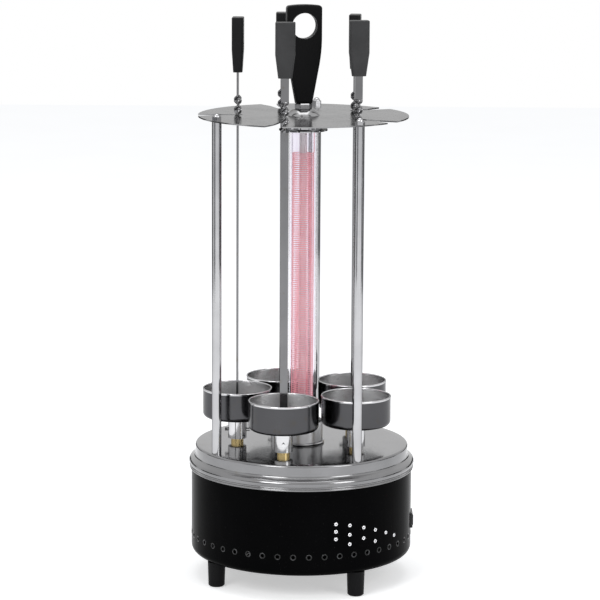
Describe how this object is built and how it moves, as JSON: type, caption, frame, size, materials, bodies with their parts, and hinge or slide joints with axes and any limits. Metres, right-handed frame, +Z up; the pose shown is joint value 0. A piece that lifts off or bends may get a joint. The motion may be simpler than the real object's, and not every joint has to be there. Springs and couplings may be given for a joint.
{
  "type": "electric skewer grill",
  "caption": "Upright electric skewer grill: quartz heater on a drum base, geared turning skewers in drip cups, slotted top plate and carry handle.",
  "frame": {"origin": "on the table under the middle of the base, at the foot of the bounding box", "axes": "+Z up; the front of the picture is -Y; +X to the viewer's right"},
  "size_m": [0.21, 0.21, 0.5326],
  "materials": {
    "black_paint": "gloss black enamel on sheet steel",
    "polished_steel": "polished stainless sheet",
    "chrome": "bright chrome plate",
    "cup_steel": "polished pressed steel, slightly dulled by heat",
    "skewer_steel": "stainless strip",
    "black_plastic": "moulded phenolic, fine satin",
    "grip_plastic": "moulded phenolic, fine satin",
    "brass": "turned brass",
    "zinc_steel": "zinc plated",
    "gear_plastic": "natural polyamide",
    "motor_steel": "zinc plated can",
    "quartz": "clear fused quartz",
    "coil_wire": "resistance wire",
    "ceramic": "unglazed steatite",
    "terminal_plastic": "polyamide"
  },
  "bodies": {
    "base": {"housing_drum": "black_paint", "bottom_plate": "black_paint", "feet": "black_plastic", "chassis_plate": "zinc_steel", "frame_spacers": "zinc_steel", "tie_rods": "zinc_steel", "base_cover": "polished_steel", "post_front_left": "chrome", "post_front_right": "chrome", "post_back": "chrome", "top_plate": "polished_steel", "cap_nuts": "chrome", "heater_socket": "chrome", "coil_former": "ceramic", "quartz_tube": "quartz", "heating_coil": "coil_wire", "insulator_cap": "ceramic", "heater_holder": "chrome", "dome_washer": "polished_steel", "handle_stud": "chrome", "carry_handle": "black_plastic", "gear_motor": "motor_steel", "motor_screws": "zinc_steel", "spindle_bushes": "brass", "switch_body": "black_plastic", "cord_gland": "black_plastic", "terminal_block": "terminal_plastic"},
    "drive_gear": {"drive_gear": "gear_plastic"},
    "motor_pinion": {"motor_pinion": "zinc_steel"},
    "rocker": {"rocker": "black_plastic"},
    "spindle_1": {"spindle_1": "brass", "spindle_gear_1": "gear_plastic"},
    "cup_1": {"cup_stem_1": "chrome", "drip_cup_1": "cup_steel"},
    "skewer_1": {"skewer_1": "skewer_steel", "skewer_grip_1": "grip_plastic"},
    "spindle_2": {"spindle_2": "brass", "spindle_gear_2": "gear_plastic"},
    "cup_2": {"cup_stem_2": "chrome", "drip_cup_2": "cup_steel"},
    "skewer_2": {"skewer_2": "skewer_steel", "skewer_grip_2": "grip_plastic"},
    "spindle_3": {"spindle_3": "brass", "spindle_gear_3": "gear_plastic"},
    "cup_3": {"cup_stem_3": "chrome", "drip_cup_3": "cup_steel"},
    "skewer_3": {"skewer_3": "skewer_steel", "skewer_grip_3": "grip_plastic"},
    "spindle_4": {"spindle_4": "brass", "spindle_gear_4": "gear_plastic"},
    "cup_4": {"cup_stem_4": "chrome", "drip_cup_4": "cup_steel"},
    "skewer_4": {"skewer_4": "skewer_steel", "skewer_grip_4": "grip_plastic"},
    "spindle_5": {"spindle_5": "brass", "spindle_gear_5": "gear_plastic"},
    "cup_5": {"cup_stem_5": "chrome", "drip_cup_5": "cup_steel"},
    "skewer_5": {"skewer_5": "skewer_steel", "skewer_grip_5": "grip_plastic"}
  },
  "joints": [
    {"name": "drive_gear_spin", "type": "hinge", "parent": "base", "child": "drive_gear", "pos_m": [0, 0, 0.098], "axis": [0, 0, 1], "continuous": true},
    {"name": "motor_pinion_spin", "type": "hinge", "parent": "base", "child": "motor_pinion", "pos_m": [-0.04145, 0.02796, 0.098], "axis": [0, 0, 1], "continuous": true},
    {"name": "spindle_1_spin", "type": "hinge", "parent": "base", "child": "spindle_1", "pos_m": [-0.01654, -0.05768, 0.098], "axis": [0, 0, 1], "continuous": true},
    {"name": "cup_1_lift", "type": "slide", "parent": "spindle_1", "child": "cup_1", "axis": [0, 0, 1], "range_m": [0, 0.016]},
    {"name": "skewer_1_lift", "type": "slide", "parent": "cup_1", "child": "skewer_1", "axis": [0, 0, 1], "range_m": [0, 0.29]},
    {"name": "spindle_2_spin", "type": "hinge", "parent": "base", "child": "spindle_2", "pos_m": [0.04974, -0.03355, 0.098], "axis": [0, 0, 1], "continuous": true},
    {"name": "cup_2_lift", "type": "slide", "parent": "spindle_2", "child": "cup_2", "axis": [0, 0, 1], "range_m": [0, 0.016]},
    {"name": "skewer_2_lift", "type": "slide", "parent": "cup_2", "child": "skewer_2", "axis": [0, 0, 1], "range_m": [0, 0.29]},
    {"name": "spindle_3_spin", "type": "hinge", "parent": "base", "child": "spindle_3", "pos_m": [0.04728, 0.03694, 0.098], "axis": [0, 0, 1], "continuous": true},
    {"name": "cup_3_lift", "type": "slide", "parent": "spindle_3", "child": "cup_3", "axis": [0, 0, 1], "range_m": [0, 0.016]},
    {"name": "skewer_3_lift", "type": "slide", "parent": "cup_3", "child": "skewer_3", "axis": [0, 0, 1], "range_m": [0, 0.29]},
    {"name": "spindle_4_spin", "type": "hinge", "parent": "base", "child": "spindle_4", "pos_m": [-0.02052, 0.05638, 0.098], "axis": [0, 0, 1], "continuous": true},
    {"name": "cup_4_lift", "type": "slide", "parent": "spindle_4", "child": "cup_4", "axis": [0, 0, 1], "range_m": [0, 0.016]},
    {"name": "skewer_4_lift", "type": "slide", "parent": "cup_4", "child": "skewer_4", "axis": [0, 0, 1], "range_m": [0, 0.29]},
    {"name": "spindle_5_spin", "type": "hinge", "parent": "base", "child": "spindle_5", "pos_m": [-0.05996, -0.00209, 0.098], "axis": [0, 0, 1], "continuous": true},
    {"name": "cup_5_lift", "type": "slide", "parent": "spindle_5", "child": "cup_5", "axis": [0, 0, 1], "range_m": [0, 0.016]},
    {"name": "skewer_5_lift", "type": "slide", "parent": "cup_5", "child": "skewer_5", "axis": [0, 0, 1], "range_m": [0, 0.29]},
    {"name": "rocker_tip", "type": "hinge", "parent": "base", "child": "rocker", "pos_m": [0.098, 0, 0.0525], "axis": [0, 0, 1], "range_deg": [-16, 0]}
  ],
  "couplings": [
    {"joint": "motor_pinion_spin", "follows": "drive_gear_spin", "ratio": -4},
    {"joint": "spindle_1_spin", "follows": "drive_gear_spin", "ratio": -2},
    {"joint": "spindle_2_spin", "follows": "drive_gear_spin", "ratio": -2},
    {"joint": "spindle_3_spin", "follows": "drive_gear_spin", "ratio": -2},
    {"joint": "spindle_4_spin", "follows": "drive_gear_spin", "ratio": -2},
    {"joint": "spindle_5_spin", "follows": "drive_gear_spin", "ratio": -2}
  ]
}
